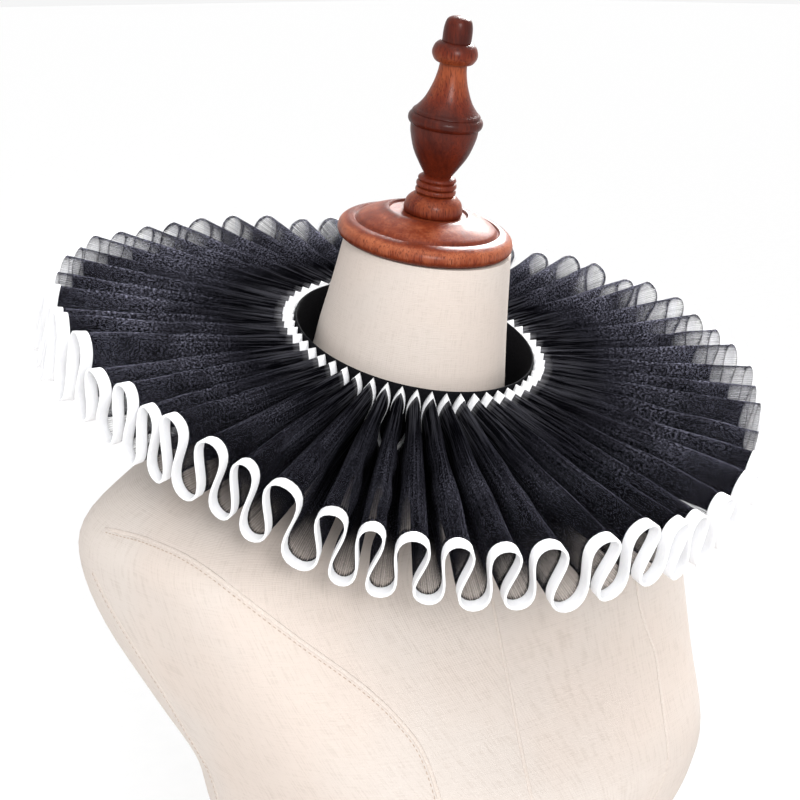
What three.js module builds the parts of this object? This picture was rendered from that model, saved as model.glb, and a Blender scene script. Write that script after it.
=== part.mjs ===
// A pleated ruff of the kind worn with historic dress, on a limbless dress form.
// Millimetres, +Z up, the wearer's front faces -Y. The origin is the middle of the
// form's flat underside.
import * as THREE from "three";

// Driving dimensions of the ruff
const LOOPS = 54; // figure-of-eight loops round the ruff, one upper and one lower loop each
const BAND_RADIUS = 78; // outside of the neck band
const BAND_WALL = 1.6;
const BAND_ABOVE = 1.5; // band's top edge above the inner pleats
const RUFF_RADIUS = 229; // outer edge of the outer ribbon, on average
const INNER_HEIGHT = 40; // pleat height at the neck band
const OUTER_HEIGHT = 44; // loop height at the outer edge, on average
const OUTER_DROP = 5; // outer loops' tops below the inner pleats' tops, on average
const INNER_RIBBON = 6.5; // width of the ribbon at the neck
const OUTER_RIBBON = 8; // width of the ribbon at the outer edge
const CLOTH_WALL = 1;
const RIBBON_WALL = 1.3;
const SEAM = 0.5; // clearance between pieces that are sewn together
const RUFF_TILT = 17.8; // the ruff slopes down to the front, degrees
const RUFF_BELOW_CAP = 61.6; // from the top of the neck to the inner pleats, along the neck

// How the outer edge sways as it goes round, once and twice a turn: its lift, its reach
// and the height of its loops
const EDGE_SWAY = [
  { turns: 1, liftCos: 10, liftSin: 8.7, reachCos: -5.4, reachSin: 1.3, heightCos: -3, heightSin: -3 },
  { turns: 2, liftCos: -9.6, liftSin: 6.4, reachCos: 8.7, reachSin: 5.9, heightCos: 0, heightSin: 0 },
];

// Shape of the cloth between an upper arc and the next lower one, along half a wave
const SWELL = 0.19; // how far an arc bulges over the diagonals, as a share of its pitch
const POINTED = 0.6; // how sharply the pleats are folded at the neck, from 0 to 1
const WAVE_STEPS = [0, 28.75, 57.5, 122.5, 151.25]; // degrees along half a wave
const RIBBON_WAVE_STEPS = [0, 57.5, 122.5]; // the inner ribbon's pleats are too small for more

// Loops that were set by hand along the front and the wearer's right. Each row moves one
// loop from its even place at the outer edge. turn and low are degrees round the ruff, for
// its upper and its lower arc, and rise and drop are the same arcs' lifts.
const SET_LOOPS = [
  { loop: -17, turn: -1.9, low: 0.5, rise: 1.6, drop: 3 },
  { loop: -16, turn: 0.7, low: 2.4, rise: 5, drop: 6.5 },
  { loop: -15, turn: 1.8, low: 3.6, rise: -4.5, drop: 6.5 },
  { loop: -14, turn: 3, low: 3.1, rise: 2.4, drop: 5.5 },
  { loop: -13, turn: 0.6, low: 1.9, rise: -2.7, drop: 4.5 },
  { loop: -12, turn: -0.6, low: 0.8, rise: 3, drop: 4.8 },
  { loop: -11, turn: 0.8, low: 1.1, rise: 2, drop: 5.4 },
  { loop: -10, turn: 0.1, low: -0.3, rise: 0, drop: 1 },
  { loop: -9, turn: -0.4, low: 1.5, rise: -2.2, drop: -3.3 },
  { loop: -8, turn: 1.7, low: 1.1, rise: -6.7, drop: -5.3 },
  { loop: -7, turn: 0.8, low: -0.1, rise: -8, drop: -5.7 },
  { loop: -6, turn: 0.2, low: 0.8, rise: -8, drop: -4.4 },
  { loop: -5, turn: -0.3, low: 0.3, rise: -5.7, drop: -2 },
  { loop: -4, turn: 0, low: 0.1, rise: -4.7, drop: -0.8 },
  { loop: -3, turn: -0.3, low: 0.9, rise: -2.7, drop: -2.5 },
  { loop: -2, turn: 1.5, low: 0.2, rise: 1.8, drop: 2 },
  { loop: -1, turn: 1.9, low: 1.3, rise: 4.5, drop: 3.4 },
  { loop: 0, turn: 1.7, low: -0.7, rise: 0.5, drop: 2.7 },
  { loop: 1, turn: -0.6, low: -1, rise: -2.7, drop: 1 },
  { loop: 2, turn: -2, low: -1, rise: 1.1, drop: 0 },
];

// The other loops stray at random: degrees round the ruff, lift, and reach, which all have
const TURN_SPREAD = 1.5;
const LIFT_SPREAD = 3;
const REACH_SPREAD = 2.4;
const SCATTER = { byLoop: 127.1, byUse: 311.7, stretch: 43758.5453 };
const SHARPEST_MITRE = 0.7; // a fold's outside is drawn out no further than this allows

// Driving dimensions of the form
const NECK_TOP = 640; // height of the neck's top above the underside
const NECK_LEAN = 11.2; // degrees, towards the front
const CAP_FORWARD = 6; // neck's top in front of the underside's middle
const FORM_SEGMENTS = 32;
const BAND_SEGMENTS = 40;
const CAP_SEAT = 0.3; // clearance between turned pieces and what carries them
const CAP_ASIDE = { x: -1.8, y: 1.7 }; // the cap sits a little off the neck's middle
const CAP_SEGMENTS = 28;
const FINIAL_SEGMENTS = 16;

// Sections of the form, from the underside up. height and back are measured from the top
// of the neck. back is the section's middle line, front and rear are its depths from there,
// square is the exponent of its outline (2 is an ellipse) and tilt is its slope.
const SECTIONS = [
  { height: -640, back: 6, half: 172, front: 119, rear: 119, square: 2.3, tilt: 0 },
  { height: -590, back: 4, half: 172.5, front: 121, rear: 119, square: 2.3, tilt: 0 },
  { height: -540, back: 3, half: 165, front: 118, rear: 112, square: 2.3, tilt: 0 },
  { height: -500, back: 1, half: 155, front: 113, rear: 103, square: 2.3, tilt: 0 },
  { height: -465, back: -2, half: 151, front: 109, rear: 98, square: 2.3, tilt: 0 },
  { height: -432, back: -6, half: 152, front: 109, rear: 97, square: 2.3, tilt: 0 },
  { height: -400, back: -12, half: 156, front: 112, rear: 99, square: 2.4, tilt: 0 },
  { height: -364, back: -20, half: 158, front: 126, rear: 108, square: 2.6, tilt: 0 },
  { height: -338, back: -20, half: 162, front: 138, rear: 118, square: 2.6, tilt: 0 },
  { height: -311, back: -15.5, half: 167, front: 147, rear: 124, square: 2.6, tilt: 0 },
  { height: -274, back: 5, half: 181, front: 139, rear: 116, square: 3, tilt: 0 },
  { height: -229, back: 27, half: 197, front: 131, rear: 114, square: 3.5, tilt: 0 },
  { height: -192, back: 34, half: 207, front: 118, rear: 110, square: 3.8, tilt: 0 },
  { height: -168, back: 34, half: 208, front: 107, rear: 110, square: 3.4, tilt: 2 },
  { height: -148, back: 31, half: 191, front: 95, rear: 106, square: 2.8, tilt: 5 },
  { height: -133, back: 28, half: 166, front: 84, rear: 98, square: 2.5, tilt: 9 },
  { height: -121, back: 26, half: 137, front: 75, rear: 88, square: 2.4, tilt: 13 },
  { height: -112, back: 25, half: 106, front: 66, rear: 77, square: 2.2, tilt: 16 },
  { height: -106, back: 23, half: 83, front: 61, rear: 70, square: 2.1, tilt: 18 },
  { height: -97.5, back: 20.5, half: 70, front: 60, rear: 66, square: 2, tilt: 18 },
  { height: -80, back: 17, half: 64, front: 60.5, rear: 63.5, square: 2, tilt: 15 },
  { height: -57, back: 13, half: 60, front: 59, rear: 61, square: 2, tilt: 12 },
  { height: -29, back: 6.5, half: 56, front: 55.5, rear: 56.5, square: 2, tilt: 11.2 },
  { height: 0, back: 0, half: 52.5, front: 52.5, rear: 52.5, square: 2, tilt: 11.2 },
];

// Outline of the turned neck cap, from its underside up: radius and height
const CAP_OUTLINE = [
  { radius: 0, height: 0 },
  { radius: 51, height: 0 },
  { radius: 54.2, height: 2 },
  { radius: 55.2, height: 5.4 },
  { radius: 53.6, height: 9 },
  { radius: 49.5, height: 11.8 },
  { radius: 45.6, height: 12.4 },
  { radius: 44.6, height: 11.7 },
  { radius: 43.6, height: 13 },
  { radius: 36, height: 17.2 },
  { radius: 27.5, height: 20.4 },
  { radius: 24.8, height: 20.8 },
  { radius: 23.8, height: 19.5 },
  { radius: 0, height: 19.5 },
];

// Outline of the turned finial, from its foot up
const FINIAL_OUTLINE = [
  { radius: 0, height: 0 },
  { radius: 18.2, height: 0 },
  { radius: 18.2, height: 4.1 },
  { radius: 16.8, height: 8.2 },
  { radius: 13, height: 11.5 },
  { radius: 11.4, height: 12.3 },
  { radius: 12.6, height: 14.3 },
  { radius: 11.2, height: 16.3 },
  { radius: 12.6, height: 18.3 },
  { radius: 11.2, height: 20.3 },
  { radius: 11.9, height: 22.3 },
  { radius: 8.6, height: 24.7 },
  { radius: 12, height: 29.7 },
  { radius: 17.2, height: 38.9 },
  { radius: 20.6, height: 49.4 },
  { radius: 21.2, height: 56.3 },
  { radius: 23, height: 58.6 },
  { radius: 22.6, height: 61.8 },
  { radius: 19.6, height: 64 },
  { radius: 14.4, height: 71.4 },
  { radius: 10.6, height: 80.5 },
  { radius: 8.4, height: 89.7 },
  { radius: 8.2, height: 93.7 },
  { radius: 11.8, height: 95.2 },
  { radius: 14, height: 99.7 },
  { radius: 12.6, height: 104.7 },
  { radius: 9, height: 107.1 },
  { radius: 8.7, height: 116.2 },
  { radius: 7, height: 120.4 },
  { radius: 0, height: 122.2 },
];

const radians = THREE.MathUtils.degToRad;
const mix = THREE.MathUtils.lerp;

// Repeatable unevenness from -1 to 1, one value for each loop and use
function uneven(loop, use) {
  const value = Math.sin(loop * SCATTER.byLoop + use * SCATTER.byUse) * SCATTER.stretch;
  return 2 * (value - Math.floor(value)) - 1;
}

// One closed body from a grid of points: every row is a ring, and so is every column when
// wrapped is true. Otherwise the first and last rows are closed by a flat fan. A wrapped
// body is a wall, and its back is split along the same diagonals as its front.
function bodyFromRings(rings, wrapped) {
  const count = rings[0].length;
  const points = rings.flat();
  const faces = [];
  const bays = wrapped ? rings.length : rings.length - 1;
  for (let row = 0; row < bays; row += 1) {
    const next = (row + 1) % rings.length;
    const back = wrapped && row >= rings.length / 2;
    for (let step = 0; step < count; step += 1) {
      const after = (step + 1) % count;
      const [a, b, c, d] = [row * count + step, row * count + after, next * count + after, next * count + step];
      faces.push(...(back ? [a, b, d, b, c, d] : [a, b, c, a, c, d]));
    }
  }
  if (!wrapped) {
    for (const end of [0, rings.length - 1]) {
      const middle = new THREE.Vector3();
      rings[end].forEach((point) => middle.addScaledVector(point, 1 / count));
      points.push(middle);
      for (let step = 0; step < count; step += 1) {
        const here = end * count + step;
        const after = end * count + ((step + 1) % count);
        faces.push(...(end === 0 ? [points.length - 1, after, here] : [points.length - 1, here, after]));
      }
    }
  }
  const geometry = new THREE.BufferGeometry().setFromPoints(points);
  geometry.setIndex(faces);
  geometry.computeVertexNormals();
  return geometry;
}

// The arcs of the strip in order round the ruff, from the front towards +X: upper, lower,
// upper and so on, with their even angle at the neck and their strays at the outer edge
function strayingArcs() {
  const even = (2 * Math.PI) / LOOPS;
  const arcs = [];
  for (let loop = 0; loop < LOOPS; loop += 1) {
    const set = SET_LOOPS.find((row) => (row.loop + LOOPS) % LOOPS === loop);
    const strays = set ?? {
      turn: TURN_SPREAD * uneven(loop, 1),
      low: TURN_SPREAD * uneven(loop, 2),
      rise: LIFT_SPREAD * uneven(loop, 3),
      drop: LIFT_SPREAD * uneven(loop, 4),
    };
    const upper = { side: 1, neck: loop * even, stray: radians(strays.turn), lift: strays.rise };
    const lower = { side: -1, neck: (loop + 0.5) * even, stray: radians(strays.low), lift: strays.drop };
    arcs.push({ ...upper, out: REACH_SPREAD * uneven(loop, 5) });
    arcs.push({ ...lower, out: REACH_SPREAD * uneven(loop, 6) });
  }
  return arcs;
}

const ARCS = strayingArcs();

// Lift, radius and loop height of the outer edge at an angle from the front
function edgeAt(angle) {
  const edge = { lift: 0, radius: RUFF_RADIUS, height: OUTER_HEIGHT };
  for (const sway of EDGE_SWAY) {
    const along = Math.cos(sway.turns * angle);
    const across = Math.sin(sway.turns * angle);
    edge.lift += sway.liftCos * along + sway.liftSin * across;
    edge.radius += sway.reachCos * along + sway.reachSin * across;
    edge.height += sway.heightCos * along + sway.heightSin * across;
  }
  return edge;
}

// Where the top of one arc is, at a reach from 0 at the neck band to 1 at the outer edge
function arcTip(arc, reach) {
  const angle = arc.neck + reach * arc.stray;
  const edge = edgeAt(angle);
  const height = mix(INNER_HEIGHT, edge.height, reach);
  const middle = mix(-INNER_HEIGHT / 2, edge.lift - OUTER_DROP - OUTER_HEIGHT / 2, reach);
  const out = mix(BAND_RADIUS, edge.radius, reach) + reach * reach * arc.out;
  return { angle, out, up: middle + (arc.side * height) / 2 + reach * arc.lift };
}

// Middle of the cloth at one reach: a ring of points that snakes up and down. From each arc
// to the next it runs along half a wave, which swells sideways near both of its ends.
function meander(reach, waveSteps) {
  const tips = ARCS.map((arc) => arcTip(arc, reach));
  const angleOf = (index) => {
    const wraps = Math.floor(index / tips.length);
    return tips[index - wraps * tips.length].angle + wraps * 2 * Math.PI;
  };
  const pointed = POINTED * (1 - reach);
  const ring = [];
  tips.forEach((tip, index) => {
    const next = tips[(index + 1) % tips.length];
    const swells = [angleOf(index + 2) - angleOf(index), angleOf(index + 1) - angleOf(index - 1)];
    for (const step of waveSteps) {
      const turn = radians(step);
      const share = turn / Math.PI;
      const down = mix((1 - Math.cos(turn)) / 2, share, pointed);
      const swell = SWELL * mix(swells[0], swells[1], share) * Math.sin(2 * turn);
      const here = mix(tip.angle, angleOf(index + 1), share) + swell;
      const out = mix(tip.out, next.out, down);
      ring.push(new THREE.Vector3(out * Math.sin(here), -out * Math.cos(here), mix(tip.up, next.up, down)));
    }
  });
  return ring;
}

// A wall of even thickness round a strip that is given by the rings along it
function wall(rings, thickness) {
  const count = rings[0].length;
  const sides = [[], []];
  rings.forEach((ring, row) => {
    const outer = rings[Math.min(row + 1, rings.length - 1)];
    const inner = rings[Math.max(row - 1, 0)];
    const faces = [[], []];
    for (let step = 0; step < count; step += 1) {
      const before = ring[(step + count - 1) % count];
      const after = ring[(step + 1) % count];
      const arriving = new THREE.Vector3().subVectors(ring[step], before).normalize();
      const leaving = new THREE.Vector3().subVectors(after, ring[step]).normalize();
      const along = new THREE.Vector3().addVectors(arriving, leaving).normalize();
      const across = new THREE.Vector3().subVectors(outer[step], inner[step]).normalize();
      const normal = new THREE.Vector3().crossVectors(along, across).normalize();
      const mitre = Math.max(along.dot(leaving), SHARPEST_MITRE);
      faces[0].push(ring[step].clone().addScaledVector(normal, thickness / 2 / mitre));
      faces[1].push(ring[step].clone().addScaledVector(normal, -thickness / 2 / mitre));
    }
    sides[0].push(faces[0]);
    sides[1].unshift(faces[1]);
  });
  return bodyFromRings([...sides[0], ...sides[1]], true);
}

// A stretch of the ruff's strip between two distances from the neck band
function stripGeometry(start, end, waveSteps, thickness) {
  const whole = RUFF_RADIUS - BAND_RADIUS;
  return wall([meander(start / whole, waveSteps), meander(end / whole, waveSteps)], thickness);
}

function innerRibbonGeometry() {
  return stripGeometry(SEAM, SEAM + INNER_RIBBON, RIBBON_WAVE_STEPS, RIBBON_WALL);
}

function ruffleGeometry() {
  const outer = RUFF_RADIUS - BAND_RADIUS - OUTER_RIBBON;
  return stripGeometry(SEAM + INNER_RIBBON + SEAM, outer - SEAM, WAVE_STEPS, CLOTH_WALL);
}

function outerRibbonGeometry() {
  const edge = RUFF_RADIUS - BAND_RADIUS;
  return stripGeometry(edge - OUTER_RIBBON, edge, WAVE_STEPS, RIBBON_WALL);
}

function neckBandGeometry() {
  const outline = [
    new THREE.Vector2(BAND_RADIUS - BAND_WALL, -INNER_HEIGHT - BAND_ABOVE),
    new THREE.Vector2(BAND_RADIUS, -INNER_HEIGHT - BAND_ABOVE),
    new THREE.Vector2(BAND_RADIUS, BAND_ABOVE),
    new THREE.Vector2(BAND_RADIUS - BAND_WALL, BAND_ABOVE),
  ];
  outline.push(outline[0].clone());
  return new THREE.LatheGeometry(outline, BAND_SEGMENTS).rotateX(Math.PI / 2);
}

// The covered torso: superellipse rings from the underside up to the neck's top
function formGeometry() {
  const rings = SECTIONS.map((section) => {
    const ring = [];
    for (let step = 0; step < FORM_SEGMENTS; step += 1) {
      const turn = (2 * Math.PI * step) / FORM_SEGMENTS;
      const round = (value) => Math.sign(value) * Math.abs(value) ** (2 / section.square);
      const sideways = section.half * round(Math.cos(turn));
      const depth = (Math.sin(turn) > 0 ? section.rear : section.front) * round(Math.sin(turn));
      const slope = radians(section.tilt);
      const back = section.back - CAP_FORWARD + depth * Math.cos(slope);
      ring.push(new THREE.Vector3(sideways, back, NECK_TOP + section.height + depth * Math.sin(slope)));
    }
    return ring;
  });
  return bodyFromRings(rings, false);
}

// A turned piece, from its outline
function turned(outline, segments) {
  const points = outline.map((point) => new THREE.Vector2(point.radius, point.height));
  return new THREE.LatheGeometry(points, segments).rotateX(Math.PI / 2);
}

function piece(name, geometry, color, roughness) {
  const material = new THREE.MeshStandardMaterial({ color, roughness, metalness: 0 });
  const mesh = new THREE.Mesh(geometry, material);
  mesh.name = name;
  return mesh;
}

// Everything above the neck's top, and the ruff's middle, lie on the neck's leaning axis
const neck = new THREE.Group();
neck.position.set(0, -CAP_FORWARD, NECK_TOP);
neck.rotation.x = radians(NECK_LEAN);

const cap = piece("neck_cap", turned(CAP_OUTLINE, CAP_SEGMENTS), 0x7a3018, 0.3);
cap.position.set(CAP_ASIDE.x, CAP_ASIDE.y, CAP_SEAT);
const finial = piece("finial", turned(FINIAL_OUTLINE, FINIAL_SEGMENTS), 0x5a1d10, 0.28);
const capDish = CAP_OUTLINE[CAP_OUTLINE.length - 1].height;
finial.position.z = cap.position.z + capDish + CAP_SEAT;
neck.add(cap, finial);

const ruff = new THREE.Group();
ruff.position.z = -RUFF_BELOW_CAP;
ruff.rotation.x = radians(RUFF_TILT - NECK_LEAN);
ruff.add(piece("neck_band", neckBandGeometry(), 0x0b0b0d, 0.8));
ruff.add(piece("inner_ribbon", innerRibbonGeometry(), 0xf4f4f2, 0.5));
ruff.add(piece("ruffle", ruffleGeometry(), 0x121217, 0.65));
ruff.add(piece("outer_ribbon", outerRibbonGeometry(), 0xf4f4f2, 0.5));
neck.add(ruff);

const collar = new THREE.Group();
collar.add(piece("form_body", formGeometry(), 0xe4d8c6, 0.85), neck);

export default collar;
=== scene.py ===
# %% [markdown]
# # A ruffled collar on its dress form
# The part is a wide black ruff, pleated from one long strip of sheer organza, with white ribbon
# on both of its edges. A dress form in cream linen carries it, with a turned wooden cap and
# finial on its neck. This notebook dresses the plain solids of the model one piece at a time.
# Each piece is built in the model's own frame, in metres, so nothing is fitted afterwards.

# %% Load the fixed frame
import math

import bpy
import numpy as np
from mathutils import Matrix, Vector
from mathutils.bvhtree import BVHTree


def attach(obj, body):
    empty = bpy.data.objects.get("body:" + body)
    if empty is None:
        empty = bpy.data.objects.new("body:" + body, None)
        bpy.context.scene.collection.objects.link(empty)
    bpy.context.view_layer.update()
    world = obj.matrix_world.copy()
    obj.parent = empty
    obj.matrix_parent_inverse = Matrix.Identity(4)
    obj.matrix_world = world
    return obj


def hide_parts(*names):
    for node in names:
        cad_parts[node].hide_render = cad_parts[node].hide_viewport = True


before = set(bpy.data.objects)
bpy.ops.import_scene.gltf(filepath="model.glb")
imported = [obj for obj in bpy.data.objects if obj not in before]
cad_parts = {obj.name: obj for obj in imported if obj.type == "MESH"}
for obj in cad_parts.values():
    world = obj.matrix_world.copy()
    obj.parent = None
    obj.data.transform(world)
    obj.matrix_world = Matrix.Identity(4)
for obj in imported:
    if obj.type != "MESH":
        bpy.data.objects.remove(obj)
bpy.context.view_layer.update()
MM = 0.001
bpy.ops.object.select_all(action="DESELECT")
print("solids:", sorted(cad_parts))

# %% [markdown]
# ## Sizes that the pieces share
# The ruff and everything on the neck follow one leaning axis. Its place is worked out once,
# as two matrices: one for what stands on top of the neck, and one for the ruff, which slopes
# more than the neck does. Sizes are in millimetres, as a maker would measure them.

# %% The neck's axis and the ruff's plane
NECK_TOP = 640
NECK_LEAN = 11.2
CAP_FORWARD = 6
RUFF_TILT = 17.8
RUFF_BELOW_CAP = 61.6

neck_place = Matrix.Translation((0, -CAP_FORWARD, NECK_TOP))
neck_place = neck_place @ Matrix.Rotation(math.radians(NECK_LEAN), 4, "X")
ruff_place = neck_place @ Matrix.Translation((0, 0, -RUFF_BELOW_CAP))
ruff_place = ruff_place @ Matrix.Rotation(math.radians(RUFF_TILT - NECK_LEAN), 4, "X")
print("ruff's middle, mm:", [round(x, 1) for x in ruff_place.translation])

# %% [markdown]
# ## Writing shader maths as expressions
# A material is easier to read as a sum than as a screen of boxes. This small class wraps one
# output socket. Adding or multiplying it makes the Math node, and its method node makes any
# other kind of node from its settings and the values of its sockets.


# %% A socket that does arithmetic
class Value:
    """One output socket of a node tree."""

    def __init__(self, tree, socket=None):
        self.tree = tree
        self.socket = socket

    def node(self, kind, inputs=None, output=0, stops=None, **settings):
        """Any kind of node, with its settings and what feeds it, as one of its outputs."""
        made = self.tree.nodes.new(kind)
        for name, setting in settings.items():
            setattr(made, name, setting)
        if stops:
            ramp = made.color_ramp.elements
            while len(ramp) < len(stops):
                ramp.new(1)
            for stop, (position, color) in zip(ramp, stops):
                stop.position = position
                stop.color = color
        for key, value in (inputs or {}).items():
            if isinstance(value, Value):
                self.tree.links.new(value.socket, made.inputs[key])
            else:
                made.inputs[key].default_value = value
        return Value(self.tree, made.outputs[output])

    def math(self, operation, first, second=0.0, clamp=False):
        inputs = {0: first, 1: second}
        return self.node("ShaderNodeMath", inputs, operation=operation, use_clamp=clamp)

    def __add__(self, other):
        return self.math("ADD", self, other)

    def __sub__(self, other):
        return self.math("SUBTRACT", self, other)

    def __rsub__(self, other):
        return self.math("SUBTRACT", other, self)

    def __mul__(self, other):
        return self.math("MULTIPLY", self, other)

    def __truediv__(self, other):
        return self.math("DIVIDE", self, other)

    def __rtruediv__(self, other):
        return self.math("DIVIDE", other, self)

    def __pow__(self, other):
        return self.math("POWER", self, other)

    def clamped(self):
        """This value, held between 0 and 1."""
        return self.math("ADD", self, 0.0, clamp=True)

    def fading(self, start, rate):
        """1 up to the start, and then down to 0 at this rate."""
        return (1.0 - (self - start) * rate).clamped()

    def wave(self, length):
        """A thread-like wave along this distance, from 0 to 1."""
        return self.math("SINE", self * (2 * math.pi / length)) * 0.5 + 0.5

    def part(self, axis):
        """One of the three parts of these coordinates."""
        return self.node("ShaderNodeSeparateXYZ", {0: self}, output=axis)

    def stretched(self, scale, turn=(0, 0, 0)):
        """These coordinates turned and scaled, which draws a pattern out or together."""
        inputs = {"Vector": self, "Rotation": turn, "Scale": scale}
        return self.node("ShaderNodeMapping", inputs)

    def noise(self, scale=1.0, detail=3.0, roughness=0.55):
        inputs = {"Vector": self, "Scale": scale, "Detail": detail, "Roughness": roughness}
        return self.node("ShaderNodeTexNoise", inputs)

    def ramp(self, *stops):
        """Colours or greys at positions along this value."""
        full = [(at, (*c, 1) if hasattr(c, "__len__") else (c, c, c, 1)) for at, c in stops]
        return self.node("ShaderNodeValToRGB", {0: self}, stops=full)

    def choose(self, first, second):
        """The first colour where this value is 0, and the second where it is 1."""
        sides = [(*c, 1) if isinstance(c, tuple) else c for c in (first, second)]
        inputs = {0: self, 6: sides[0], 7: sides[1]}
        return self.node("ShaderNodeMix", inputs, output=2, data_type="RGBA")


# %% Finishes and their coordinates
OBJECT_SPACE = 3
UV_SPACE = 2


def new_finish(name, coordinates, **constants):
    """A material, its shader with some constants set, and its pattern's coordinates."""
    material = bpy.data.materials.new(name)
    material.use_nodes = True
    shader = material.node_tree.nodes["Principled BSDF"]
    for key, value in constants.items():
        shader.inputs[key.replace("_", " ")].default_value = value
    place = Value(material.node_tree).node("ShaderNodeTexCoord", output=coordinates)
    return material, shader, place


def feed(shader, key, value):
    value.tree.links.new(value.socket, shader.inputs[key])


def feed_bump(shader, height, distance, strength=1.0):
    inputs = {"Strength": strength, "Distance": distance, "Height": height}
    feed(shader, "Normal", height.node("ShaderNodeBump", inputs))


# %% [markdown]
# ## Building meshes
# A few short helpers do what a modeller does with a mesh again and again: put it in the scene,
# select it alone, turn its faces outwards, shade it smooth up to a crisp angle, and apply a
# modifier. Each piece ends with a finish, and the solids that it stands for are hidden.


# %% Pieces in the scene
def new_piece(name, points, faces):
    """A smooth object in the scene, from its points and faces."""
    mesh = bpy.data.meshes.new(name)
    mesh.from_pydata(points, [], faces)
    mesh.shade_smooth()
    piece = bpy.data.objects.new(name, mesh)
    bpy.context.scene.collection.objects.link(piece)
    return piece


def select_only(piece):
    bpy.ops.object.select_all(action="DESELECT")
    bpy.context.view_layer.objects.active = piece
    piece.select_set(True)


def turn_faces_outwards(piece):
    select_only(piece)
    bpy.ops.object.mode_set(mode="EDIT")
    bpy.ops.mesh.select_all(action="SELECT")
    bpy.ops.mesh.normals_make_consistent(inside=False)
    bpy.ops.object.mode_set(mode="OBJECT")
    piece.select_set(False)


def smooth_up_to(piece, degrees):
    """Smooth shading, with a crisp edge where faces meet at more than this angle."""
    select_only(piece)
    bpy.ops.object.shade_smooth_by_angle(angle=math.radians(degrees))
    piece.select_set(False)


def apply_modifier(piece, kind, **settings):
    select_only(piece)
    modifier = piece.modifiers.new(kind.lower(), kind)
    for name, value in settings.items():
        setattr(modifier, name, value)
    bpy.ops.object.modifier_apply(modifier=modifier.name)
    piece.select_set(False)


def finish_piece(piece, material, slot, *nodes):
    piece.data.materials.clear()
    piece.data.materials.append(material)
    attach(piece, "root")
    if nodes:
        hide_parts(*nodes)
    triangles = sum(len(face.vertices) - 2 for face in piece.data.polygons)
    print(f"{piece.name}: {triangles} triangles")


# %% [markdown]
# ## Cloth as a grid
# Cloth is the main form here, and a sheet of cloth is a grid: rows that run along it, one
# beyond the other. This helper turns such a grid into a mesh whose UV map is in metres of
# cloth, so that a weave keeps its scale wherever the cloth is folded.


# %% A grid of points as a mesh
def cloth_grid(name, rows, along, across):
    """Rows of points that close on themselves. along and across are the cloth's own metres."""
    count = len(rows[0])
    points = np.array(rows).reshape(-1, 3)
    faces = []
    places = []
    for row in range(len(rows) - 1):
        for step in range(count):
            after = (step + 1) % count
            low, high = row * count, (row + 1) * count
            faces.append((low + step, low + after, high + after, high + step))
            left, right = along[step], along[step + 1]
            bottom, top = across[row], across[row + 1]
            places += [(left, bottom), (right, bottom), (right, top), (left, top)]
    piece = new_piece(name, points.tolist(), faces)
    layer = piece.data.uv_layers.new(name="cloth")
    layer.data.foreach_set("uv", np.array(places, np.float32).ravel())
    return piece


def to_metres(rows, place):
    """Rows of points in millimetres, moved to their place in the frame."""
    turn = np.array(place.to_3x3())
    middle = np.array(place.translation)
    return [(np.array(row) @ turn.T + middle) * MM for row in rows]


def unit(vectors):
    """Vectors brought to a length of 1."""
    return vectors / np.linalg.norm(vectors, axis=-1, keepdims=True)


def running_length(places):
    """How far along a line of places each one is."""
    steps = np.linalg.norm(np.diff(places, axis=0), axis=1)
    return np.concatenate([[0], np.cumsum(steps)])


# %% [markdown]
# ## The form's linen cover
# The torso is sewn from linen panels over a padded shell. A few level sections, each a
# rounded outline with its own front and back depth, are enough to describe it. The rows
# between them are drawn through the sections as a smooth curve, as a pattern maker would draw
# a side seam through a few measured points.

# %% Sections of the torso
SECTIONS = [
    # height, back, half, front, rear, square, tilt
    (-640, 6, 172, 119, 119, 2.3, 0),
    (-590, 4, 172.5, 121, 119, 2.3, 0),
    (-540, 3, 165, 118, 112, 2.3, 0),
    (-500, 1, 155, 113, 103, 2.3, 0),
    (-465, -2, 151, 109, 98, 2.3, 0),
    (-432, -6, 152, 109, 97, 2.3, 0),
    (-400, -12, 156, 112, 99, 2.4, 0),
    (-364, -20, 158, 126, 108, 2.6, 0),
    (-338, -20, 162, 138, 118, 2.6, 0),
    (-311, -15.5, 167, 147, 124, 2.6, 0),
    (-274, 5, 181, 139, 116, 3, 0),
    (-229, 27, 197, 131, 114, 3.5, 0),
    (-192, 34, 207, 118, 110, 3.8, 0),
    (-168, 34, 208, 107, 110, 3.4, 2),
    (-148, 31, 191, 95, 106, 2.8, 5),
    (-133, 28, 166, 84, 98, 2.5, 9),
    (-121, 26, 137, 75, 88, 2.4, 13),
    (-112, 25, 106, 66, 77, 2.2, 16),
    (-106, 23, 83, 61, 70, 2.1, 18),
    (-97.5, 20.5, 70, 60, 66, 2, 18),
    (-80, 17, 64, 60.5, 63.5, 2, 15),
    (-57, 13, 60, 59, 61, 2, 12),
    (-29, 6.5, 56, 55.5, 56.5, 2, 11.2),
    (0, 0, 52.5, 52.5, 52.5, 2, 11.2),
]
ROWS_BETWEEN = 4
FORM_COLUMNS = 128


def smooth_rows(table, between):
    """Rows of a table with more rows between them, on a curve through each column."""
    table = np.array(table, float)
    padded = np.vstack([2 * table[0] - table[1], table, 2 * table[-1] - table[-2]])
    rows = []
    for index in range(len(table) - 1):
        before, start, end, after = padded[index:index + 4]
        for step in range(between):
            t = step / between
            curve = (end - before) * t
            curve = curve + (2 * before - 5 * start + 4 * end - after) * t**2
            curve = curve + (3 * start - before - 3 * end + after) * t**3
            rows.append(start + curve / 2)
    return rows + [table[-1]]


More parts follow.
